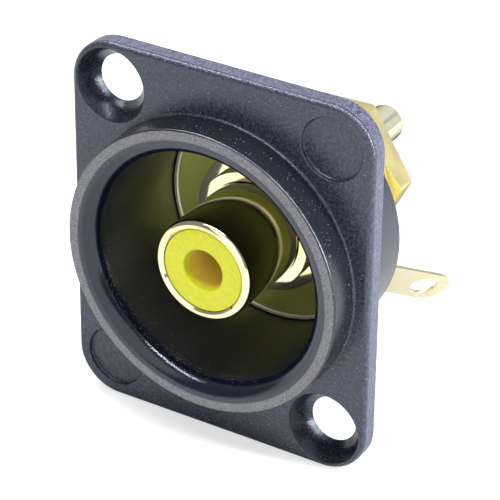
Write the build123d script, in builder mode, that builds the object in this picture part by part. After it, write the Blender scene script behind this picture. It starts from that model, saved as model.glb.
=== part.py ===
from build123d import *
from math import cos, hypot, radians, sin, tan
import os

os.makedirs("parts", exist_ok=True)

# A phono socket for a panel. The panel's front lies at Y = 0, the socket's axis is the Y axis,
# the plug comes from -Y, +Z is up and +X is on the right as seen from the front.

# Flange
flange_width = 26.0
flange_height = 31.0
flange_thickness = 1.7
flange_corner = 3.6
flange_front_edge = 0.4
flange_back_bevel = 0.15

# Two countersunk screw holes on one diagonal, two blank round recesses on the other
screw_from_side = 3.5
screw_from_end = 3.5
screw_hole = 3.8
screw_head = 6.0
head_angle = 68.0
recess_diameter = 5.1
recess_depth = 0.35

# Ring in front of the flange, round bore and rear cup
ring_diameter = 23.5
ring_height = 2.77
ring_bevel = 0.2
ring_foot = 0.15
bore_diameter = 19.1
bore_draft = 0.15
bore_lip = 1.35
cup_diameter = 21.1
cup_depth = 7.75
cup_edge = 0.3
cup_floor = 0.55

# Play between pieces that slide into one another, and play around the threaded shank
slip = 0.05
shank_play = 0.05

# Turned jack
barrel_diameter = 8.3
barrel_front_gap = 0.47
barrel_edge = 0.45
barrel_length = 6.95
neck_depth = 0.2
neck_width = 0.2
collar_diameter = 9.95
collar_width = 1.6
collar_bevel = 0.1
foot_diameter = 11.7
foot_bevel = 0.1
shank_diameter = 8.0
shank_past_nut = 0.8
shank_edge = 0.3
mouth_chamfer = 0.12

# Insulators inside the jack, and the centre contact
insulator_diameter = 6.8
insulator_recess = 0.15
insulator_length = 8.85
insulator_edge = 0.1
plug_pin_hole = 3.4
plug_pin_hole_depth = 4.2
contact_sleeve_diameter = 4.2
contact_bore = 2.9
contact_bore_depth = 4.6
contact_slot_width = 0.4
contact_slot_length = 3.4
contact_flange_diameter = 4.8
contact_flange_width = 0.8
contact_pin_diameter = 3.16
contact_pin_past_nut = 8.5
contact_pin_bevel = 0.3
rear_insulator_diameter = 5.6
rear_insulator_past_shank = 0.9
rear_insulator_edge = 0.2

# Stack on the shank, from the cup's floor to the nut
floor_washer_play = 0.1
floor_washer_thickness = 0.3
floor_washer_rim = 0.2
floor_washer_rim_edge = 0.06
hub_diameter = 13.0
hub_height = 0.85
hub_edge = 0.3
bush_wall = 0.95
bush_flange_diameter = 11.8
bush_flange_thickness = 0.5
lug_ring_diameter = 11.4
lug_thickness = 0.3
lug_width = 3.55
lug_direction = -40.0
lug_bend_angle = 50.7
lug_bend_at = 7.6
lug_bend_radius = 0.4
lug_tail_length = 9.2
lug_hole = 2.15
lug_hole_from_tip = 2.2
spacer_diameter = 11.2
spacer_length = 4.0
lock_washer_diameter = 11.6
lock_washer_thickness = 0.7
lock_washer_rim = 1.05
lock_washer_teeth = 10
lock_washer_tooth_width = 1.5
nut_across_flats = 12.0
nut_thickness = 2.2
nut_turn = 2.1
nut_chamfer = 30.0

# Places along the axis, from the front to the back
flange_front = -flange_thickness
ring_front = flange_front - ring_height
barrel_front = ring_front + barrel_front_gap
barrel_back = barrel_front + barrel_length
collar_front = barrel_back + neck_width
foot_front = collar_front + collar_width
insulator_front = barrel_front + insulator_recess
insulator_back = insulator_front + insulator_length
contact_front = insulator_front + plug_pin_hole_depth
cup_inside = cup_depth - cup_floor
floor_washer_front = cup_inside - floor_washer_thickness
hub_back = cup_depth + hub_height
lug_front = hub_back + bush_flange_thickness
spacer_front = lug_front + lug_thickness
lock_washer_front = spacer_front + spacer_length
nut_front = lock_washer_front + lock_washer_thickness
nut_back = nut_front + nut_thickness
shank_back = nut_back + shank_past_nut
rear_insulator_front = insulator_back + contact_flange_width
rear_insulator_back = shank_back + rear_insulator_past_shank
contact_back = nut_back + contact_pin_past_nut

# Radii that follow from the sizes above
bore_radius = bore_diameter / 2
bore_floor_radius = bore_radius - bore_draft
barrel_radius = barrel_diameter / 2
shank_radius = shank_diameter / 2
shank_hole_radius = shank_radius + shank_play
insulator_seat_radius = insulator_diameter / 2 + slip
rear_seat_radius = rear_insulator_diameter / 2 + slip
bush_radius = shank_hole_radius + bush_wall

screw_x = flange_width / 2 - screw_from_side
screw_z = flange_height / 2 - screw_from_end
screw_places = [(-screw_x, screw_z), (screw_x, -screw_z)]
recess_places = [(screw_x, screw_z), (-screw_x, -screw_z)]


def across(y):
    """The plane across the axis at y, facing the front, with X and Z as its own axes."""
    return Plane.XZ.offset(-y)


# Cast housing: flange, front ring and rear cup in one piece
with BuildPart() as housing:
    with BuildSketch(across(0)):
        RectangleRounded(flange_width, flange_height, flange_corner)
    extrude(amount=flange_thickness)
    fillet(housing.faces().sort_by(Axis.Y)[0].edges(), flange_front_edge)
    chamfer(housing.faces().sort_by(Axis.Y)[-1].edges(), flange_back_bevel)
    with BuildSketch(Plane.XY):
        with BuildLine():
            Polyline(
                (0, ring_front),
                (ring_diameter / 2 - ring_bevel, ring_front),
                (ring_diameter / 2, ring_front + ring_bevel),
                (ring_diameter / 2, flange_front - ring_foot),
                (ring_diameter / 2 + ring_foot, flange_front),
                (ring_diameter / 2 + ring_foot, -flange_thickness / 2),
                (cup_diameter / 2, -flange_thickness / 2),
                (cup_diameter / 2, cup_depth - cup_edge),
                (cup_diameter / 2 - cup_edge, cup_depth),
                (hub_diameter / 2, cup_depth),
                (hub_diameter / 2, hub_back - hub_edge),
                (hub_diameter / 2 - hub_edge, hub_back),
                (0, hub_back),
                (0, ring_front),
            )
        make_face()
    revolve(axis=Axis.Y)
    with BuildSketch(Plane.XY):
        with BuildLine():
            Line((0, ring_front), (bore_radius + bore_lip, ring_front))
            RadiusArc(
                (bore_radius + bore_lip, ring_front),
                (bore_radius, ring_front + bore_lip),
                bore_lip,
            )
            Polyline(
                (bore_radius, ring_front + bore_lip),
                (bore_floor_radius, cup_inside),
                (bush_radius + slip, cup_inside),
                (bush_radius + slip, hub_back),
                (0, hub_back),
                (0, ring_front),
            )
        make_face()
    revolve(axis=Axis.Y, mode=Mode.SUBTRACT)
    with Locations(across(flange_front)):
        with Locations(*screw_places):
            CounterSinkHole(screw_hole / 2, screw_head / 2, counter_sink_angle=head_angle)
    with BuildSketch(across(flange_front)):
        with Locations(*recess_places):
            Circle(recess_diameter / 2)
    extrude(amount=-recess_depth, mode=Mode.SUBTRACT)
housing.part.label = "housing"
export_step(housing.part, "parts/housing.step")

# Polished washer on the cup's floor, its rim turned up to the front
floor_washer_radius = bore_floor_radius - floor_washer_play
floor_washer_curl = floor_washer_radius - floor_washer_rim_edge
with BuildPart() as floor_washer:
    with BuildSketch(Plane.XY):
        with BuildLine():
            Line(
                (shank_hole_radius, floor_washer_front),
                (floor_washer_curl - floor_washer_rim, floor_washer_front),
            )
            RadiusArc(
                (floor_washer_curl - floor_washer_rim, floor_washer_front),
                (floor_washer_curl, floor_washer_front - floor_washer_rim),
                floor_washer_rim,
            )
            Polyline(
                (floor_washer_curl, floor_washer_front - floor_washer_rim),
                (floor_washer_radius, floor_washer_front - floor_washer_rim),
                (floor_washer_radius, cup_inside),
                (shank_hole_radius, cup_inside),
                (shank_hole_radius, floor_washer_front),
            )
        make_face()
    revolve(axis=Axis.Y)
floor_washer.part.label = "floor_washer"
export_step(floor_washer.part, "parts/floor_washer.step")

# Turned jack: barrel, undercut, collar, wider foot on the washer, and shank through the stack
with BuildPart() as jack_shell:
    with BuildSketch(Plane.XY):
        with BuildLine():
            RadiusArc(
                (barrel_radius - barrel_edge, barrel_front),
                (barrel_radius, barrel_front + barrel_edge),
                -barrel_edge,
            )
            Polyline(
                (barrel_radius, barrel_front + barrel_edge),
                (barrel_radius, barrel_back),
                (barrel_radius - neck_depth, barrel_back),
                (barrel_radius - neck_depth, collar_front),
                (collar_diameter / 2 - collar_bevel, collar_front),
                (collar_diameter / 2, collar_front + collar_bevel),
                (collar_diameter / 2, foot_front),
                (foot_diameter / 2 - foot_bevel, foot_front),
                (foot_diameter / 2, foot_front + foot_bevel),
                (foot_diameter / 2, floor_washer_front),
                (shank_radius, floor_washer_front),
                (shank_radius, shank_back - shank_edge),
                (shank_radius - shank_edge, shank_back),
                (rear_seat_radius, shank_back),
                (rear_seat_radius, insulator_back),
                (insulator_seat_radius, insulator_back),
                (insulator_seat_radius, barrel_front + mouth_chamfer),
                (insulator_seat_radius + mouth_chamfer, barrel_front),
                (barrel_radius - barrel_edge, barrel_front),
            )
        make_face()
    revolve(axis=Axis.Y)
jack_shell.part.label = "jack_shell"
export_step(jack_shell.part, "parts/jack_shell.step")

# Coloured insulator in the barrel, bored for the plug's pin and wider behind for the contact
with BuildPart() as front_insulator:
    with BuildSketch(across(insulator_front)):
        Circle(insulator_diameter / 2)
        Circle(plug_pin_hole / 2, mode=Mode.SUBTRACT)
    extrude(amount=-insulator_length)
    with BuildSketch(across(insulator_back)):
        Circle(contact_sleeve_diameter / 2 + slip)
    extrude(amount=insulator_back - contact_front, mode=Mode.SUBTRACT)
    chamfer(front_insulator.faces().sort_by(Axis.Y)[0].edges(), insulator_edge)
front_insulator.part.label = "front_insulator"
export_step(front_insulator.part, "parts/front_insulator.step")

# Centre contact: slotted sleeve in front, flange held between the insulators, solder pin behind
with BuildPart() as centre_contact:
    with BuildSketch(Plane.XY):
        with BuildLine():
            Polyline(
                (contact_bore / 2, contact_front),
                (contact_sleeve_diameter / 2, contact_front),
                (contact_sleeve_diameter / 2, insulator_back),
                (contact_flange_diameter / 2, insulator_back),
                (contact_flange_diameter / 2, rear_insulator_front),
                (contact_pin_diameter / 2, rear_insulator_front),
                (contact_pin_diameter / 2, contact_back - contact_pin_bevel),
                (contact_pin_diameter / 2 - contact_pin_bevel, contact_back),
                (0, contact_back),
                (0, contact_front + contact_bore_depth),
                (contact_bore / 2, contact_front + contact_bore_depth),
                (contact_bore / 2, contact_front),
            )
        make_face()
    revolve(axis=Axis.Y)
    with BuildSketch(across(contact_front)):
        Rectangle(contact_sleeve_diameter + slip, contact_slot_width)
        Rectangle(contact_slot_width, contact_sleeve_diameter + slip)
    extrude(amount=-contact_slot_length, mode=Mode.SUBTRACT)
centre_contact.part.label = "centre_contact"
export_step(centre_contact.part, "parts/centre_contact.step")

# Insulator pressed into the shank, around the solder pin
with BuildPart() as rear_insulator:
    with BuildSketch(across(rear_insulator_front)):
        Circle(rear_insulator_diameter / 2)
        Circle(contact_pin_diameter / 2 + slip, mode=Mode.SUBTRACT)
    extrude(amount=rear_insulator_front - rear_insulator_back)
    chamfer(rear_insulator.faces().sort_by(Axis.Y)[-1].outer_wire().edges(), rear_insulator_edge)
rear_insulator.part.label = "rear_insulator"
export_step(rear_insulator.part, "parts/rear_insulator.step")

# Shouldered bush that lines the hub's hole and lies on the hub's back
with BuildPart() as shoulder_bush:
    with BuildSketch(across(cup_inside)):
        Circle(bush_radius)
    extrude(amount=cup_inside - hub_back)
    with BuildSketch(across(hub_back)):
        Circle(bush_flange_diameter / 2)
    extrude(amount=-bush_flange_thickness)
    with BuildSketch(across(cup_inside)):
        Circle(shank_hole_radius)
    extrude(amount=cup_inside - lug_front, mode=Mode.SUBTRACT)
shoulder_bush.part.label = "shoulder_bush"
export_step(shoulder_bush.part, "parts/shoulder_bush.step")

# Solder lug: a flat ring with a tail that bends back, rounded and holed at its end
lug_radial = (cos(radians(lug_direction)), 0, sin(radians(lug_direction)))
lug_side = (-sin(radians(lug_direction)), 0, cos(radians(lug_direction)))
lug_lengthwise = Plane(origin=(0, 0, 0), x_dir=lug_radial, z_dir=lug_side)
tail_run = cos(radians(lug_bend_angle))
tail_rise = sin(radians(lug_bend_angle))
lug_tip = (lug_bend_at + lug_tail_length * tail_run, lug_front + lug_tail_length * tail_rise)
hole_run = lug_tail_length - lug_hole_from_tip
hole_centre = lug_lengthwise.from_local_coords(
    (lug_bend_at + hole_run * tail_run, lug_front + hole_run * tail_rise, 0)
)
tail_normal = Vector(*lug_radial) * tail_rise - Vector(0, tail_run, 0)
tail_axis = Axis((0, 0, 0), Vector(*lug_radial) * tail_run + Vector(0, tail_rise, 0))
with BuildPart() as solder_lug:
    with BuildSketch(lug_lengthwise):
        with BuildLine():
            FilletPolyline(
                (shank_hole_radius + lug_width / 4, lug_front),
                (lug_bend_at, lug_front),
                lug_tip,
                radius=lug_bend_radius,
            )
            offset(amount=lug_thickness, side=Side.LEFT)
        make_face()
    extrude(amount=lug_width / 2, both=True)
    tip_face = solder_lug.faces().sort_by(tail_axis)[-1]
    fillet(tip_face.edges().filter_by(Axis((0, 0, 0), tail_normal)), lug_width / 2 - slip)
    with BuildSketch(across(lug_front)):
        Circle(lug_ring_diameter / 2)
    extrude(amount=-lug_thickness)
    with BuildSketch(across(lug_front)):
        Circle(shank_hole_radius)
    extrude(amount=-lug_thickness, mode=Mode.SUBTRACT)
    with Locations(Plane(origin=hole_centre, z_dir=tail_normal)):
        Hole(lug_hole / 2, depth=2 * lug_thickness)
solder_lug.part.label = "solder_lug"
export_step(solder_lug.part, "parts/solder_lug.step")

# Spacer between the lug and the lock washer
with BuildPart() as spacer:
    with BuildSketch(across(spacer_front)):
        Circle(spacer_diameter / 2)
        Circle(shank_hole_radius, mode=Mode.SUBTRACT)
    extrude(amount=-spacer_length)
spacer.part.label = "spacer"
export_step(spacer.part, "parts/spacer.step")

# Lock washer with inner teeth
with BuildPart() as lock_washer:
    with BuildSketch(across(lock_washer_front)):
        Circle(lock_washer_diameter / 2)
        Circle(lock_washer_diameter / 2 - lock_washer_rim, mode=Mode.SUBTRACT)
        with PolarLocations((lock_washer_diameter / 2 - lock_washer_rim + shank_hole_radius) / 2, lock_washer_teeth):
            Rectangle(lock_washer_rim, lock_washer_tooth_width)
        Circle(shank_hole_radius, mode=Mode.SUBTRACT)
    extrude(amount=-lock_washer_thickness)
lock_washer.part.label = "lock_washer"
export_step(lock_washer.part, "parts/lock_washer.step")

# Hexagon nut, chamfered on the side that faces the cup
nut_corner = nut_across_flats / 2 / cos(radians(30))
nut_chamfer_run = nut_corner - nut_across_flats / 2
nut_chamfer_drop = nut_chamfer_run * tan(radians(nut_chamfer))
with BuildPart() as hex_nut:
    with BuildSketch(across(nut_front)):
        RegularPolygon(nut_corner, 6, rotation=nut_turn)
        Circle(shank_hole_radius, mode=Mode.SUBTRACT)
    extrude(amount=-nut_thickness)
    with BuildSketch(Plane.XY):
        with BuildLine():
            Polyline(
                (0, nut_front),
                (nut_across_flats / 2, nut_front),
                (nut_corner, nut_front + nut_chamfer_drop),
                (nut_corner, nut_back),
                (0, nut_back),
                (0, nut_front),
            )
        make_face()
    revolve(axis=Axis.Y, mode=Mode.INTERSECT)
hex_nut.part.label = "hex_nut"
export_step(hex_nut.part, "parts/hex_nut.step")
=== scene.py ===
import bpy
from math import cos, pi, radians, sin, tan
from mathutils import Matrix, Vector


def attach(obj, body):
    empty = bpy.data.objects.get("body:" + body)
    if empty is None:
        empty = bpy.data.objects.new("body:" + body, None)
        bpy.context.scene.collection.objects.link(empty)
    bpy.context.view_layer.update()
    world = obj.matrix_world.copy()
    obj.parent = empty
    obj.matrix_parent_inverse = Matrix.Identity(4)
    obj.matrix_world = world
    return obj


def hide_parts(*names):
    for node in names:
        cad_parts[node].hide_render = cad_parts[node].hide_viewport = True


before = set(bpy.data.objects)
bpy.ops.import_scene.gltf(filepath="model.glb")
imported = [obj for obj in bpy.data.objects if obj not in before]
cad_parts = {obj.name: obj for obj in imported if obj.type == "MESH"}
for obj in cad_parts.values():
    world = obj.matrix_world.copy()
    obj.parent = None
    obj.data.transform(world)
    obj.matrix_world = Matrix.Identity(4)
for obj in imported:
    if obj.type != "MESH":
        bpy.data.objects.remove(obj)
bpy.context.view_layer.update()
mm = 0.001
near = 0.01  # points closer than this count as level, in millimetres
print("frame loaded:", ", ".join(sorted(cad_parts)))


class Wire:  # one output socket; plain arithmetic on it adds Math nodes
    def __init__(self, finish, socket):
        self.finish = finish
        self.socket = socket

    def math(self, operation, first, second):
        return self.finish.add("ShaderNodeMath", {"operation": operation}, {0: first, 1: second})

    def __add__(self, other):
        return self.math("ADD", self, other)

    def __radd__(self, other):
        return self.math("ADD", other, self)

    def __sub__(self, other):
        return self.math("SUBTRACT", self, other)

    def __rsub__(self, other):
        return self.math("SUBTRACT", other, self)

    def __mul__(self, other):
        return self.math("MULTIPLY", self, other)

    def __rmul__(self, other):
        return self.math("MULTIPLY", other, self)

    def __pow__(self, other):
        return self.math("POWER", self, other)

    def __rpow__(self, other):
        return self.math("POWER", other, self)


class Finish:  # the nodes of a material or of the world
    def __init__(self, owner):
        self.owner = owner
        owner.use_nodes = True
        self.tree = owner.node_tree
        self.tree.nodes.clear()

    def add(self, nodeType, settings=None, inputs=None, output=0):
        node = self.tree.nodes.new(nodeType)
        for key, value in (settings or {}).items():
            setattr(node, key, value)
        for key, value in (inputs or {}).items():
            if isinstance(value, Wire):
                self.tree.links.new(value.socket, node.inputs[key])
            else:
                node.inputs[key].default_value = value
        return Wire(self, node.outputs[output]) if node.outputs else None

    def outputs(self, wire, names):  # other outputs of the wire's node
        return [Wire(self, wire.socket.node.outputs[name]) for name in names]

    def place(self):  # object coordinates, in metres
        return self.add("ShaderNodeTexCoord", output="Object")

    def axes(self, place):  # x, y, z
        return self.outputs(self.add("ShaderNodeSeparateXYZ", None, {0: place}), (0, 1, 2))

    def noise(self, place, scale, detail=2.0, roughness=0.5):
        return self.add("ShaderNodeTexNoise", None,
                        {"Vector": place, "Scale": scale, "Detail": detail, "Roughness": roughness})

    def step(self, value, low, high, start=0.0, end=1.0):  # smooth ramp between two values
        return self.add("ShaderNodeMapRange", {"interpolation_type": "SMOOTHSTEP"},
                        {"Value": value, "From Min": low, "From Max": high, "To Min": start, "To Max": end})

    def zone(self, distance, *spans):  # 1 past every span of a distance; the spans are in millimetres
        mask = self.step(distance, spans[0][0] * mm, spans[0][1] * mm)
        for low, high in spans[1:]:
            mask = mask * self.step(distance, low * mm, high * mm)
        return mask

    def larger(self, first, second):
        return self.add("ShaderNodeMath", {"operation": "MAXIMUM"}, {0: first, 1: second})

    def mix(self, factor, first, second):  # colours
        return self.add("ShaderNodeMix", {"data_type": "RGBA"}, {0: factor, 6: first, 7: second}, 2)

    def bump(self, height, distance):
        return self.add("ShaderNodeBump", None, {"Height": height, "Distance": distance, "Strength": 1.0})

    def surface(self, inputs):
        shader = self.add("ShaderNodeBsdfPrincipled", None, inputs)
        self.add("ShaderNodeOutputMaterial", None, {"Surface": shader})
        return self.owner


def newFinish(name):
    return Finish(bpy.data.materials.new(name))


def colour(red, green, blue):  # screen values, 0 to 255, to linear light
    return tuple(((c / 255 + 0.055) / 1.055) ** 2.4 if c > 10 else c / 255 / 12.92
                 for c in (red, green, blue)) + (1.0,)


def ringRadius(x, z):  # distance from the socket's axis
    return (x * x + z * z) ** 0.5


def deselectAll():
    bpy.ops.object.select_all(action="DESELECT")


def selectOnly(*pieces):  # the first one becomes active
    deselectAll()
    for piece in pieces:
        piece.select_set(True)
    bpy.context.view_layer.objects.active = pieces[0]


def settle(name):  # names the new primitive and moves its place into its mesh
    piece = bpy.context.object
    piece.name = name
    piece.data.name = name
    bpy.ops.object.transform_apply(location=True, rotation=True, scale=True)
    return piece


def pick(piece, kind, test):  # leaves edit mode open with the edges or faces that pass the test selected
    bpy.ops.object.mode_set(mode="EDIT")
    bpy.ops.mesh.select_mode(type=kind)
    bpy.ops.mesh.select_all(action="DESELECT")
    bpy.ops.object.mode_set(mode="OBJECT")
    points = [v.co / mm for v in piece.data.vertices]
    for part in (piece.data.edges if kind == "EDGE" else piece.data.polygons):
        part.select = test([points[i] for i in part.vertices])
    bpy.ops.object.mode_set(mode="EDIT")


def frontToBack(ends):  # an edge that runs along the socket's axis
    return abs(ends[0].x - ends[1].x) < near and abs(ends[0].z - ends[1].z) < near


def bevelEdges(piece, width, segments, test):
    pick(piece, "EDGE", test)
    bpy.ops.mesh.bevel(offset=width * mm, segments=segments, affect="EDGES")
    bpy.ops.object.mode_set(mode="OBJECT")


def applyModifier(piece, kind, **settings):
    selectOnly(piece)
    modifier = piece.modifiers.new(kind.lower(), kind)
    for key, value in settings.items():
        setattr(modifier, key, value)
    bpy.ops.object.modifier_apply(modifier=modifier.name)


def breakEdges(piece, width, angle):  # rounds every edge sharper than the angle
    applyModifier(piece, "BEVEL", width=width * mm, segments=2,
                  limit_method="ANGLE", angle_limit=radians(angle))


def cut(piece, cutter):
    applyModifier(piece, "BOOLEAN", operation="DIFFERENCE", solver="EXACT", object=cutter)
    bpy.data.objects.remove(cutter)


def shift(piece, x, z):  # moves a cutter off the axis
    selectOnly(piece)
    bpy.ops.transform.translate(value=(x * mm, 0, z * mm))
    bpy.ops.object.transform_apply(location=True, rotation=False, scale=False)
    return piece


def smooth(piece, angle=30):  # smooth shading with crisp flats
    selectOnly(piece)
    bpy.ops.object.shade_smooth_by_angle(angle=radians(angle))
    applyModifier(piece, "WEIGHTED_NORMAL", keep_sharp=True, weight=80)


def turn(name, rings, steps):  # turned on the Y axis; rings are (radius, y) in millimetres
    deselectAll()
    bpy.ops.mesh.primitive_circle_add(vertices=steps, radius=rings[0][0] * mm,
                                      location=(0, rings[0][1] * mm, 0), rotation=(radians(90), 0, 0))
    piece = settle(name)
    bpy.ops.object.mode_set(mode="EDIT")
    bpy.ops.mesh.select_all(action="SELECT")
    for (radius, y), (nextRadius, nextY) in zip(rings, rings[1:]):
        bpy.ops.mesh.extrude_edges_move(TRANSFORM_OT_translate={"value": (0, (nextY - y) * mm, 0)})
        grow = nextRadius / radius
        bpy.ops.transform.resize(value=(grow, 1, grow), center_override=(0, nextY * mm, 0))
    bpy.ops.mesh.select_all(action="SELECT")
    bpy.ops.mesh.remove_doubles(threshold=0.0005 * mm)  # closes a profile that ends where it starts
    bpy.ops.mesh.fill_holes(sides=0)  # caps a profile that doesn't
    bpy.ops.mesh.select_all(action="SELECT")
    bpy.ops.mesh.normals_make_consistent(inside=False)
    bpy.ops.object.mode_set(mode="OBJECT")
    return piece


def arc(radius, y, size, first, last, steps):  # profile points round a centre; 0 degrees is outwards, 90 back
    turns = [radians(first + (last - first) * i / steps) for i in range(steps + 1)]
    return [(radius + size * cos(t), y + size * sin(t)) for t in turns]


def dress(piece, material, node):  # finish, body and the solid that the piece stands for
    piece.data.materials.clear()
    piece.data.materials.append(material)
    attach(piece, "root")
    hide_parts(node)


def paintFaces(piece, material, test):  # another finish on the faces whose points all pass the test
    if material.name not in piece.data.materials:
        piece.data.materials.append(material)
    pick(piece, "FACE", lambda points: all(test(p) for p in points))
    piece.active_material_index = piece.data.materials.find(material.name)
    bpy.ops.object.material_slot_assign()
    bpy.ops.object.mode_set(mode="OBJECT")


castLook = {
    "face": colour(60, 63, 82), "dark": colour(16, 18, 26), "cloud": 4200.0, "cloudContrast": (0.36, 0.64),
    # rim, rimDark: the plate's sides and the cup are painted lighter than the front (painted light), and their
    # grain is painted glints
    "rim": colour(86, 90, 114), "rimDark": colour(38, 40, 53), "rimGrain": 7200.0, "rimContrast": (0.42, 0.58),
    # lip: painted shade, darkening the lip's slope into the bore and the collar's outer side
    "lip": colour(14, 16, 22), "lipShadeShare": 0.75, "wallShadeShare": 0.95,
    "rubbed": colour(130, 127, 131), "rubbedContrast": (0.3, 0.62), "rubbedLeast": 0.3,
    # pale flecks: dust and painted glints, with more of them on the collar's edge and side
    "dustAndGlints": colour(206, 208, 216), "dustAndGlintShare": 0.8, "fleck": 12000.0, "fleckContrast": (0.845, 0.87),
    "edgeFlecks": 0.02, "wallFlecks": 0.01,
    "shine": 0.95, "shineTint": (0.80, 0.86, 1.0, 1.0),
    "roughness": 0.25, "roughnessVaries": 0.1, "landRoughness": 0.5, "rimRoughness": 0.31, "lipPolish": 0.08,
    "grain": 8000.0, "grainHeight": 0.000022, "lipRelief": -0.5, "rimRelief": 0.8, "filletRelief": 1.1}

castZones = {  # millimetres; a mask rises from the first value of each span to the second
    "edge": ((11.3, 11.6), (12.0, 11.9)),  # radius, the collar's outer side with its front edge
    "wall": ((11.5, 11.7), (12.05, 11.95)), "wallDepth": (-1.8, -2.0),  # that side without its foot
    "land": ((10.8, 11.0), (11.66, 11.58)), "landDepth": (-4.3, -4.42),  # the collar's rubbed front
    "lip": (10.95, 10.75),  # radius, from there in
    "fillet": ((-1.69, -1.62), (-1.38, -1.42)),  # depth, the plate's rounded front edge
    "rim": ((-1.32, -1.22), (7.7, 7.5)),  # depth, the plate's sides and the cup
    "plateBack": (-0.14, -0.04), "outsideCup": (10.6, 10.75)}  # taken out of the rim again


def castBlack():  # outside of the casting
    look, zones = castLook, castZones
    f = newFinish("castBlack")
    place = f.place()
    x, y, z = f.axes(place)
    radius = ringRadius(x, z)
    cloud = f.noise(place, look["cloud"], detail=4.0, roughness=0.8)
    grain = f.noise(place, look["grain"], roughness=0.6)
    edge = f.zone(radius, *zones["edge"])
    land = f.zone(radius, *zones["land"]) * f.zone(y, zones["landDepth"])
    lip = f.zone(radius, zones["lip"])
    wall = f.zone(radius, *zones["wall"]) * f.zone(y, zones["wallDepth"])
    fillet = f.zone(y, *zones["fillet"])
    back = f.zone(y, zones["plateBack"]) * f.zone(radius, zones["outsideCup"])
    rim = f.zone(y, *zones["rim"]) * (1.0 - back)
    specks = f.noise(place, look["fleck"], detail=0.0) + edge * look["edgeFlecks"] + wall * look["wallFlecks"]
    fleck = f.step(specks, *look["fleckContrast"])
    tone = f.mix(f.step(cloud, *look["cloudContrast"]), look["dark"], look["face"])
    # painted light: the sides and cup are lighter than the front face, mottled with painted glints
    rimLitTone = f.mix(f.step(f.noise(place, look["rimGrain"], detail=1.0), *look["rimContrast"]),
                    look["rimDark"], look["rim"])
    tone = f.mix(rim, tone, rimLitTone)
    # painted shade on the lip's outer slope and on the collar's outer side
    tone = f.mix(lip * look["lipShadeShare"] + wall * look["wallShadeShare"], tone, look["lip"])
    rubbed = f.step(grain, *look["rubbedContrast"], look["rubbedLeast"], 1.0)
    tone = f.mix(land * rubbed, tone, look["rubbed"])
    # pale flecks: dust and painted glints
    tone = f.mix(fleck * look["dustAndGlintShare"], tone, look["dustAndGlints"])
    rough = look["roughness"] + (grain - 0.5) * look["roughnessVaries"] - lip * look["lipPolish"] \
        + land * (look["landRoughness"] - look["roughness"]) + rim * (look["rimRoughness"] - look["roughness"])
    relief = 1.0 + (lip + wall) * look["lipRelief"] + rim * look["rimRelief"] + fillet * look["filletRelief"]
    return f.surface({"Base Color": tone, "Roughness": rough,
                      "Specular IOR Level": look["shine"], "Specular Tint": look["shineTint"],
                      "Normal": f.bump(grain * relief, look["grainHeight"])})


boreLook = {
    # wall: painted shade, so the bore's inside is darker than the casting outside
    "wall": colour(14, 18, 36), "dustAndGlints": colour(122, 124, 114), "dustAndGlintShare": 0.7,
    "fleck": 9000.0, "fleckContrast": (0.79, 0.83), "lowFlecks": 0.06,
    "shine": 0.75, "shineTint": (0.84, 0.88, 1.0, 1.0), "lipRoughness": 0.13, "wallRoughness": 0.3,
    "grain": 7000.0, "grainHeight": 0.000007, "lipRelief": 0.6,
    "lowHeight": (2.0, -7.0), "lowDepth": (1.5, -2.5),  # spans in millimetres, as in castZones
    "fleckDepth": (-4.0, -3.4), "roughDepth": (-3.2, -2.4), "grainDepth": (-3.0, -3.6)}


def castBoreShade():  # painted shade: darker inside the collar, and smoother
    look = boreLook
    f = newFinish("castBoreShade")
    place = f.place()
    x, y, z = f.axes(place)
    grain = f.noise(place, look["grain"], roughness=0.6)
    low = f.zone(z, look["lowHeight"]) * f.zone(y, look["lowDepth"])
    # pale flecks: dust and painted glints, with more of them low at the front of the bore
    specks = f.noise(place, look["fleck"], detail=0.0) + low * look["lowFlecks"]
    fleck = f.step(specks, *look["fleckContrast"]) * f.zone(y, look["fleckDepth"])
    tone = f.mix(fleck * look["dustAndGlintShare"], look["wall"], look["dustAndGlints"])
    rough = look["lipRoughness"] \
        + f.zone(y, look["roughDepth"]) * (look["wallRoughness"] - look["lipRoughness"])
    sparkle = f.zone(y, look["grainDepth"])
    return f.surface({"Base Color": tone, "Roughness": rough,
                      "Specular IOR Level": look["shine"], "Specular Tint": look["shineTint"],
                      "Normal": f.bump(grain * (1.0 + sparkle * look["lipRelief"]), look["grainHeight"])})


seatLook = {
    "dark": colour(20, 24, 33), "worn": colour(44, 49, 64), "contrast": (0.4, 0.65),
    "shine": 0.42, "shineTint": (0.78, 0.86, 1.0, 1.0), "roughness": 0.25, "roughnessVaries": 0.1,
    "grain": 6500.0, "grainHeight": 0.000016}


def castSeat():  # machined screw holes
    look = seatLook
    f = newFinish("castSeat")
    grain = f.noise(f.place(), look["grain"], roughness=0.6)
    tone = f.mix(f.step(grain, *look["contrast"]), look["dark"], look["worn"])
    return f.surface({"Base Color": tone,
                      "Roughness": look["roughness"] + (grain - 0.5) * look["roughnessVaries"],
                      "Specular IOR Level": look["shine"], "Specular Tint": look["shineTint"],
                      "Normal": f.bump(grain, look["grainHeight"])})


housing = {
    "width": 26.0, "height": 31.0, "thickness": 1.7, "corner": 3.6, "frontEdge": 0.4, "backEdge": 0.15,
    "screws": ((-9.5, 12.0), (9.5, -12.0)), "screwHole": 1.9, "screwHead": 3.0, "headAngle": 68.0,
    "recesses": ((9.5, 12.0), (-9.5, -12.0)), "recess": 2.55, "recessDepth": 0.35,
    "ring": 11.75, "ringFront": -4.47, "ringEdge": 0.2, "ringFoot": 0.15, "lip": 1.35,
    "bore": 9.55, "boreFloor": 9.4, "boreShadeFrom": 10.6,  # the bore's painted shade starts on the lip
    "cup": 10.55, "cupBack": 7.75, "cupEdge": 0.3, "cupInside": 7.2,
    "hub": 6.5, "hubBack": 8.6, "hubEdge": 0.3, "hubHole": 5.05}


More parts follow.
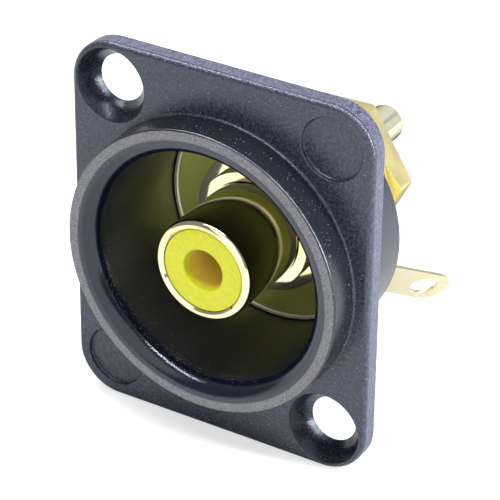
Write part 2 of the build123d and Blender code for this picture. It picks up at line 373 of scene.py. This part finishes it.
def makePlate():
    h = housing
    front = -h["thickness"]
    deselectAll()
    bpy.ops.mesh.primitive_cube_add(size=1.0, location=(0, front / 2 * mm, 0),
                                    scale=(h["width"] * mm, h["thickness"] * mm, h["height"] * mm))
    plate = settle("housingCast")
    bevelEdges(plate, h["corner"], 14, frontToBack)
    bevelEdges(plate, h["frontEdge"], 5, lambda ends: all(abs(p.y - front) < near for p in ends))
    bevelEdges(plate, h["backEdge"], 2, lambda ends: all(abs(p.y) < near for p in ends))
    hole, head = h["screwHole"], h["screwHead"]
    coneBack = front + (head - hole) / tan(radians(h["headAngle"] / 2))
    seat = [(head + 0.25, front - 0.2), (head + 0.05, front), (head - 0.03, front + 0.06),
            (hole, coneBack), (hole, 0.5)]  # its edge at the plate's face is broken
    for x, z in h["screws"]:
        cut(plate, shift(turn("screwCutter", seat, 72), x, z))
    size, floor = h["recess"], front + h["recessDepth"]
    dish = [(size + 0.2, front - 0.2), (size + 0.03, front), (size - 0.02, front + 0.05),
            (size - 0.04, floor - 0.08), (size - 0.12, floor)]
    for x, z in h["recesses"]:
        cut(plate, shift(turn("recessCutter", dish, 72), x, z))
    middle = (h["bore"] + h["cup"]) / 2  # inside the turned body's wall, which covers the cut
    cut(plate, turn("boreCutter", [(middle, -3.0), (middle, 1.0)], 160))
    return plate


def makeHousing():
    h = housing
    plate = makePlate()
    front = -h["thickness"]
    foot = h["ring"] + h["ringFoot"]
    rings = [(foot, front / 2), (foot, front)]
    rings += arc(foot, front - h["ringFoot"], h["ringFoot"], 90, 180, 3)[1:]
    rings += arc(h["ring"] - h["ringEdge"], h["ringFront"] + h["ringEdge"], h["ringEdge"], 0, -90, 5)
    rings += arc(h["bore"] + h["lip"], h["ringFront"] + h["lip"], h["lip"], -90, -180, 16)
    rings += [(h["boreFloor"], h["cupInside"]), (h["hubHole"], h["cupInside"]), (h["hubHole"], h["hubBack"])]
    rings += arc(h["hub"] - h["hubEdge"], h["hubBack"] - h["hubEdge"], h["hubEdge"], 90, 0, 4)
    rings += [(h["hub"], h["cupBack"])]
    rings += arc(h["cup"] - h["cupEdge"], h["cupBack"] - h["cupEdge"], h["cupEdge"], 90, 0, 4)
    rings += [(h["cup"], front / 2), rings[0]]
    body = turn("ringAndCup", rings, 192)
    selectOnly(plate, body)
    bpy.ops.object.join()
    smooth(plate, 38)
    dress(plate, castBlack(), "housing")
    # painted shade inside the bore, from the lip in
    paintFaces(plate, castBoreShade(),
               lambda p: ringRadius(p.x, p.z) < h["boreShadeFrom"] and p.y < h["cupInside"] + near)
    seat = castSeat()
    for x, z in h["screws"]:
        paintFaces(plate, seat, lambda p: ringRadius(p.x - x, p.z - z) < h["screwHead"] + 0.06)


makeHousing()
print("housing cast")

giltLook = {  # edge tints what shows at a glancing angle; the dark edges of the pin, nut and sheet are a painted dark reflection
    "turned": {"light": (0.96, 0.90, 0.64, 1.0), "dark": (0.93, 0.83, 0.48, 1.0), "roughness": 0.06,
               "edge": (1.0, 1.0, 1.0, 1.0), "metal": 1.0},
    # olive: the washer's gold is painted greener, a painted reflection of the greenish light inside the bore
    "olive": {"light": (0.93, 0.96, 0.24, 1.0), "dark": (0.85, 0.88, 0.17, 1.0), "roughness": 0.07,
              "edge": (1.0, 1.0, 1.0, 1.0), "metal": 0.85},
    "pin": {"light": (0.98, 0.94, 0.76, 1.0), "dark": (0.95, 0.90, 0.67, 1.0), "roughness": 0.17,
            "edge": (0.02, 0.02, 0.01, 1.0), "metal": 1.0},
    "nut": {"light": (0.87, 0.785, 0.46, 1.0), "dark": (0.84, 0.73, 0.36, 1.0), "roughness": 0.24,
            "edge": (0.40, 0.38, 0.33, 1.0), "metal": 1.0},
    "sheet": {"light": (0.97, 0.91, 0.69, 1.0), "dark": (0.94, 0.86, 0.59, 1.0), "roughness": 0.2,
              "edge": (0.55, 0.52, 0.42, 1.0), "metal": 1.0},
    "cloud": 420.0, "toneContrast": (0.35, 0.7), "roughContrast": (0.3, 0.7), "roughShares": (0.7, 1.4),
    "lines": 9000.0, "lineHeight": 0.000001,  # fine turned lines
    # rimLitTone: a painted sheen, paler on the washer's turned-up rim
    "rimLitTone": (0.80, 0.76, 0.58, 1.0), "rimDuller": 0.26, "rimSoft": 0.06,
    # chamferReflection: a painted reflection, a golden strip on the nut's chamfer
    "chamferReflection": (0.62, 0.51, 0.12, 1.0), "chamferMetalLess": 0.6, "chamferSpan": (-0.07, -0.03)}


def polishedGold(name, tones, rimFrom=None, chamferOf=None):
    look, shared = giltLook[tones], giltLook
    f = newFinish(name)
    place = f.place()
    x, y, z = f.axes(place)
    radius = ringRadius(x, z)
    cloud = f.noise(place, shared["cloud"])
    profile = f.add("ShaderNodeCombineXYZ", None, {0: radius * shared["lines"], 1: y * shared["lines"], 2: 0.0})
    tone = f.mix(f.step(cloud, *shared["toneContrast"]), look["light"], look["dark"])
    least, most = (look["roughness"] * share for share in shared["roughShares"])
    rough = f.step(cloud, *shared["roughContrast"], least, most)
    metal = look["metal"]
    if rimFrom:  # paler and duller from this radius out; the paler tone is a painted sheen on the washer's rim
        rim = f.zone(radius, (rimFrom - shared["rimSoft"], rimFrom))
        tone = f.mix(rim, tone, shared["rimLitTone"])
        rough = rough + rim * shared["rimDuller"]
    if chamferOf:  # painted reflection: yellower and less metallic on the nut's chamfer, in place of the golden strip it reflects
        slope = tan(radians(chamferOf["chamfer"]))
        cone = radius - chamferOf["acrossFlats"] / 2 * mm - (y - chamferOf["front"] * mm) * (1 / slope)
        reflectedStrip = f.zone(cone, shared["chamferSpan"])
        tone = f.mix(reflectedStrip, tone, shared["chamferReflection"])
        metal = metal - reflectedStrip * shared["chamferMetalLess"]
    # Specular Tint: on the pin, nut and sheet, a painted dark reflection at glancing angles
    return f.surface({"Base Color": tone, "Metallic": metal, "Roughness": rough, "Specular Tint": look["edge"],
                      "Normal": f.bump(f.noise(profile, 1.0), shared["lineHeight"])})


gilt = polishedGold("giltTurned", "turned")

jack = {
    "front": -4.0, "mouth": 3.45, "mouthEdge": 0.14, "barrel": 4.15, "edge": 0.45, "barrelBack": 2.95,
    "neck": 3.95, "collarFront": 3.15, "collar": 4.975, "collarEdge": 0.08, "footFront": 4.75, "foot": 5.85,
    "footBack": 6.9, "shank": 4.0, "shankBack": 17.1, "shankEdge": 0.3, "seatBack": 5.0, "rearBore": 2.85,
    "threadFrom": 14.2, "threadTurns": 5, "pitch": 0.5, "threadDepth": 0.28,
    "groove": (0.45, 0.55, 0.95)}  # shares of the pitch: down to here, flat to here, up to here


def makeJack():
    j = jack
    rings = [(j["mouth"] + j["mouthEdge"], j["front"])]
    rings += arc(j["barrel"] - j["edge"], j["front"] + j["edge"], j["edge"], -90, 0, 10)
    rings += [(j["barrel"], j["barrelBack"]), (j["neck"], j["barrelBack"]), (j["neck"], j["collarFront"])]
    rings += arc(j["collar"] - j["collarEdge"], j["collarFront"] + j["collarEdge"], j["collarEdge"], -90, 0, 3)
    rings += [(j["collar"], j["footFront"])]
    rings += arc(j["foot"] - j["collarEdge"], j["footFront"] + j["collarEdge"], j["collarEdge"], -90, 0, 3)
    rings += [(j["foot"], j["footBack"]), (j["shank"], j["footBack"]), (j["shank"], j["threadFrom"])]
    root = j["shank"] - j["threadDepth"]
    down, flat, up = (share * j["pitch"] for share in j["groove"])
    for i in range(j["threadTurns"]):
        y = j["threadFrom"] + i * j["pitch"]
        rings += [(root, y + down), (root, y + flat), (j["shank"], y + up), (j["shank"], y + j["pitch"])]
    rings += [(j["shank"], j["shankBack"] - j["shankEdge"]), (j["shank"] - j["shankEdge"], j["shankBack"]),
              (j["rearBore"], j["shankBack"]), (j["rearBore"], j["seatBack"]), (j["mouth"], j["seatBack"]),
              (j["mouth"], j["front"] + j["mouthEdge"]), rings[0]]
    piece = turn("jackTurned", rings, 160)
    smooth(piece)
    dress(piece, gilt, "jack_shell")


floorWasher = {"hole": 4.05, "outside": 9.3, "front": 6.9, "back": 7.2, "rise": 0.2, "riseFrom": 9.04,
               "paleFrom": 9.03}


def makeFloorWasher():
    w = floorWasher
    rimFront = w["front"] - w["rise"]
    rings = [(w["hole"], w["front"])] + arc(w["riseFrom"], rimFront, w["rise"], 90, 0, 5)
    rings += [(w["outside"], rimFront), (w["outside"], w["back"]), (w["hole"], w["back"]), rings[0]]
    piece = turn("boreWasher", rings, 160)
    smooth(piece)
    dress(piece, polishedGold("giltOlive", "olive", rimFrom=w["paleFrom"]), "floor_washer")


yellowLook = {
    # hole: painted light, the pin hole's inside turned orange by gold light reflected in it
    "light": colour(222, 221, 50), "dark": colour(210, 212, 30), "hole": colour(234, 204, 92),
    "cloud": 2600.0, "contrast": (0.3, 0.7), "roughness": (0.34, 0.46),
    "grain": 6000.0, "grainHeight": 0.000004,
    "holeDepth": (-3.7, -2.4), "holeRadius": (2.0, 1.8)}  # spans in millimetres, as in castZones


def yellowPlastic():
    look = yellowLook
    f = newFinish("yellowPlastic")
    place = f.place()
    x, y, z = f.axes(place)
    cloud = f.noise(place, look["cloud"], detail=4.0, roughness=0.6)
    tone = f.mix(f.step(cloud, *look["contrast"]), look["dark"], look["light"])
    # painted light: orange inside the pin hole, reflected gold light in place of its shade
    holeLight = f.zone(y, look["holeDepth"]) * f.zone(ringRadius(x, z), look["holeRadius"])
    return f.surface({"Base Color": f.mix(holeLight, tone, look["hole"]),
                      "Roughness": f.step(cloud, *look["contrast"], *look["roughness"]),
                      "Normal": f.bump(f.noise(place, look["grain"]), look["grainHeight"])})


pinGuide = {"front": -3.85, "back": 5.0, "hole": 1.7, "holeEdge": 0.15, "outside": 3.4, "outsideEdge": 0.1,
            "sleeve": 2.15, "sleeveFront": 0.35}
rearSleeve = {"front": 5.8, "back": 18.0, "hole": 1.63, "outside": 2.8, "edge": 0.2}


def makeInsulators():
    yellow = yellowPlastic()
    g = pinGuide
    rings = arc(g["hole"] + g["holeEdge"], g["front"] + g["holeEdge"], g["holeEdge"], 180, 270, 4)
    rings += arc(g["outside"] - g["outsideEdge"], g["front"] + g["outsideEdge"], g["outsideEdge"], -90, 0, 3)
    rings += [(g["outside"], g["back"]), (g["sleeve"], g["back"]), (g["sleeve"], g["sleeveFront"]),
              (g["hole"], g["sleeveFront"]), rings[0]]
    piece = turn("pinGuide", rings, 128)
    smooth(piece)
    dress(piece, yellow, "front_insulator")
    r = rearSleeve
    rings = [(r["hole"], r["front"]), (r["hole"], r["back"])]
    rings += arc(r["outside"] - r["edge"], r["back"] - r["edge"], r["edge"], 90, 0, 4)
    rings += [(r["outside"], r["front"]), rings[0]]
    piece = turn("rearSleeve", rings, 96)
    smooth(piece)
    dress(piece, yellow, "rear_insulator")


contact = {
    "bore": 1.45, "boreBack": 4.95, "front": 0.35, "sleeve": 2.1, "flange": 2.4, "flangeFront": 5.0,
    "flangeBack": 5.8, "pin": 1.58, "tip": 24.8, "tipEdge": 0.35,
    "slot": 0.4, "slotReach": 5.0, "slotFront": -0.65, "slotBack": 3.75}


def makeContact():
    c = contact
    rings = [(c["bore"], c["boreBack"]), (c["bore"], c["front"]), (c["sleeve"], c["front"]),
             (c["sleeve"], c["flangeFront"]), (c["flange"], c["flangeFront"]), (c["flange"], c["flangeBack"]),
             (c["pin"], c["flangeBack"])]
    rings += arc(c["pin"] - c["tipEdge"], c["tip"] - c["tipEdge"], c["tipEdge"], 0, 90, 6)
    piece = turn("contactPin", rings, 96)
    middle = (c["slotFront"] + c["slotBack"]) / 2
    for width, height in ((c["slotReach"], c["slot"]), (c["slot"], c["slotReach"])):
        deselectAll()
        bpy.ops.mesh.primitive_cube_add(
            size=1.0, location=(0, middle * mm, 0),
            scale=(width * mm, (c["slotBack"] - c["slotFront"]) * mm, height * mm))
        cut(piece, settle("slotCutter"))
    smooth(piece)
    dress(piece, polishedGold("giltSatin", "pin"), "centre_contact")


nut = {"acrossFlats": 12.0, "front": 14.1, "back": 16.3, "hole": 3.9, "holeLead": 0.3, "turn": 2.1,
       "chamfer": 30.0, "cornerFlat": 0.3, "edge": 0.05, "spare": 0.6}  # spare: how far a cutter overshoots


def makeNut():
    n = nut
    flat = n["acrossFlats"] / 2
    corner = flat / cos(radians(30))
    deselectAll()
    bpy.ops.mesh.primitive_cylinder_add(
        vertices=6, radius=corner * mm, depth=(n["back"] - n["front"]) * mm,
        location=(0, (n["front"] + n["back"]) / 2 * mm, 0), rotation=(radians(90), radians(30 - n["turn"]), 0))
    piece = settle("panelNut")
    bevelEdges(piece, n["cornerFlat"], 3, frontToBack)
    hole, lead = n["hole"], n["holeLead"]
    cut(piece, turn("holeCutter", [(hole + 2 * lead, n["front"] - lead), (hole, n["front"] + lead),
                                   (hole, n["back"] - lead), (hole + 2 * lead, n["back"] + lead)], 96))
    slope = tan(radians(n["chamfer"]))
    inner, outer, ahead = flat - n["spare"], corner + n["spare"], n["front"] - 1.0
    cone = [(radius, n["front"] + (radius - flat) * slope) for radius in (inner, outer)]
    cut(piece, turn("chamferCutter", cone + [(outer, ahead), (inner, ahead), cone[0]], 96))
    breakEdges(piece, n["edge"], 25)
    smooth(piece)
    dress(piece, polishedGold("giltNut", "nut", chamferOf=n), "hex_nut")


makeJack()
makeFloorWasher()
makeInsulators()
makeContact()
makeNut()
print("jack, floor washer, insulators, contact and nut turned")

blackLook = {"light": colour(34, 34, 38), "dark": colour(24, 24, 27), "toneContrast": (0.35, 0.65),
             "roughness": (0.45, 0.6), "roughContrast": (0.3, 0.7), "grain": 4000.0, "grainHeight": 0.00001}


def blackPlastic():
    look = blackLook
    f = newFinish("blackPlastic")
    grain = f.noise(f.place(), look["grain"])
    return f.surface({"Base Color": f.mix(f.step(grain, *look["toneContrast"]), look["dark"], look["light"]),
                      "Roughness": f.step(grain, *look["roughContrast"], *look["roughness"]),
                      "Normal": f.bump(grain, look["grainHeight"])})


copiedEdge = {"solder_lug": 0.04, "lock_washer": 0.04, "spacer": 0.1, "shoulder_bush": 0.06}  # millimetres


def cleanCopy(node, name, material):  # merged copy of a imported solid, its edges broken
    selectOnly(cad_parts[node])
    bpy.ops.object.duplicate()
    piece = bpy.context.object
    piece.name = name
    piece.parent = None
    for key in [k for k in piece.keys() if k.startswith("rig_")]:
        del piece[key]
    bpy.ops.object.mode_set(mode="EDIT")
    bpy.ops.mesh.select_all(action="SELECT")
    bpy.ops.mesh.remove_doubles(threshold=0.001 * mm)
    bpy.ops.mesh.dissolve_limited(angle_limit=radians(1))
    bpy.ops.object.mode_set(mode="OBJECT")
    breakEdges(piece, copiedEdge[node], 40)
    smooth(piece)
    dress(piece, material, node)


sheet = polishedGold("giltSheet", "sheet")
cleanCopy("solder_lug", "solderTag", sheet)
cleanCopy("lock_washer", "toothedWasher", sheet)
cleanCopy("spacer", "stackSpacer", gilt)
cleanCopy("shoulder_bush", "insulatingBush", blackPlastic())
print("lug, lock washer, spacer and bush dressed")

cameraLook = {"aim": (0.0, -1.7, 0.0), "back": (0.4555, -0.7305, 0.5089), "distance": 195.621, "roll": 0.2,
              "sensor": 36.0, "lens": 187.118, "shift": (0.06466, 0.01718), "clip": (0.005, 20.0)}


def placeCamera():
    look = cameraLook
    back = Vector(look["back"]).normalized()
    right = Vector((0, 0, 1)).cross(back).normalized()
    up = back.cross(right)
    turning = Matrix.Rotation(radians(look["roll"]), 3, back)
    axes = Matrix((turning @ right, turning @ up, back)).transposed().to_4x4()
    axes.translation = (back * look["distance"] + Vector(look["aim"])) * mm
    bpy.ops.object.camera_add()
    camera = bpy.context.object
    camera.name = "photoCamera"
    camera.matrix_world = axes
    camera.data.sensor_width = look["sensor"]
    camera.data.lens = look["lens"]
    camera.data.shift_x, camera.data.shift_y = look["shift"]
    camera.data.clip_start, camera.data.clip_end = look["clip"]
    bpy.context.scene.camera = camera


placeCamera()
print("camera placed")

floorLook = {"height": -15.52, "size": 6.0, "colour": (0.48, 0.48, 0.48, 1.0),
             "whiteSeen": 0.6, "whiteMirrored": 0.04}  # added where the camera or polished metal looks


def layFloor():
    look = floorLook
    deselectAll()
    bpy.ops.mesh.primitive_plane_add(size=look["size"], location=(0, 0, look["height"] * mm))
    floor = bpy.context.object
    floor.name = "floor"
    f = newFinish("paleFloor")
    camera, glossy, through = f.outputs(f.add("ShaderNodeLightPath"),
                                        ("Is Camera Ray", "Is Glossy Ray", "Is Transmission Ray"))
    white = f.larger(glossy, through) * look["whiteMirrored"] + camera * look["whiteSeen"]
    paper = f.add("ShaderNodeBsdfDiffuse", None, {"Color": look["colour"]})
    lift = f.add("ShaderNodeEmission", None, {"Strength": white})
    both = f.add("ShaderNodeAddShader", None, {0: paper, 1: lift})
    f.add("ShaderNodeOutputMaterial", None, {"Surface": both})
    floor.data.materials.append(f.owner)


roomLook = {  # spans lie on the direction's axes and rise as in castZones
    "frontSky": 0.25, "backSky": 0.80, "backFrom": (-0.3, 0.2),
    "backWall": 0.74, "wallTop": (0.40, 0.28),
    "gap": 0.42, "gapAcross": (0.2, 0.38), "gapUp": (0.34, 0.46)}  # a darker gap high on the right


def lightWorld():  # dim room with a white wall low at the back, plain white where the camera looks
    look = roomLook
    f = Finish(bpy.data.worlds.new("studio"))
    bpy.context.scene.world = f.owner
    x, y, z = f.axes(f.add("ShaderNodeTexCoord", output="Generated"))
    back = f.step(y, *look["backFrom"])
    wall = back * f.step(z, *look["wallTop"])
    gap = f.step(x, *look["gapAcross"]) * f.step(z, *look["gapUp"])
    level = look["frontSky"] + back * (look["backSky"] - look["frontSky"]) \
        + wall * (look["backWall"] - look["backSky"])
    level = level * (1.0 - gap * look["gap"])
    seen = f.larger(*f.outputs(f.add("ShaderNodeLightPath"), ("Is Camera Ray", "Is Transmission Ray")))
    level = level + seen * (1.0 - level)
    paper = f.add("ShaderNodeBackground", None, {"Color": (1.0, 1.0, 1.0, 1.0), "Strength": level})
    f.add("ShaderNodeOutputWorld", None, {"Surface": paper})


lamps = {  # a glow of 1 is as bright as white paper
    "overheadRight": {"towards": (0.72, 0.12, 0.68), "size": (0.07, 0.40), "glow": 36.0},
    "overhead": {"towards": (0.08, -0.20, 0.97), "size": (0.62, 0.024), "glow": 44.0},
    "overheadLeft": {"towards": (-0.44, 0.12, 0.89), "size": (0.08, 0.30), "glow": 20.0},
    "right": {"towards": (0.97, 0.17, 0.02), "size": (0.08, 0.30), "glow": 52.0},
    "front": {"towards": (0.30, -0.85, 0.42), "size": (0.60, 0.60), "glow": 1.05}}
lampDistance = 0.5


def hangLamps():
    for name, look in lamps.items():
        place = Vector(look["towards"]).normalized() * lampDistance
        bpy.ops.object.light_add(type="AREA", location=place)
        lamp = bpy.context.object
        lamp.name = name
        lamp.rotation_euler = place.to_track_quat("Z", "Y").to_euler()
        lamp.data.shape = "RECTANGLE"
        lamp.data.size, lamp.data.size_y = look["size"]
        lamp.data.energy = look["glow"] * pi * look["size"][0] * look["size"][1]


layFloor()
lightWorld()
hangLamps()
bpy.context.scene.view_settings.view_transform = "Standard"
print("floor and lamps set")
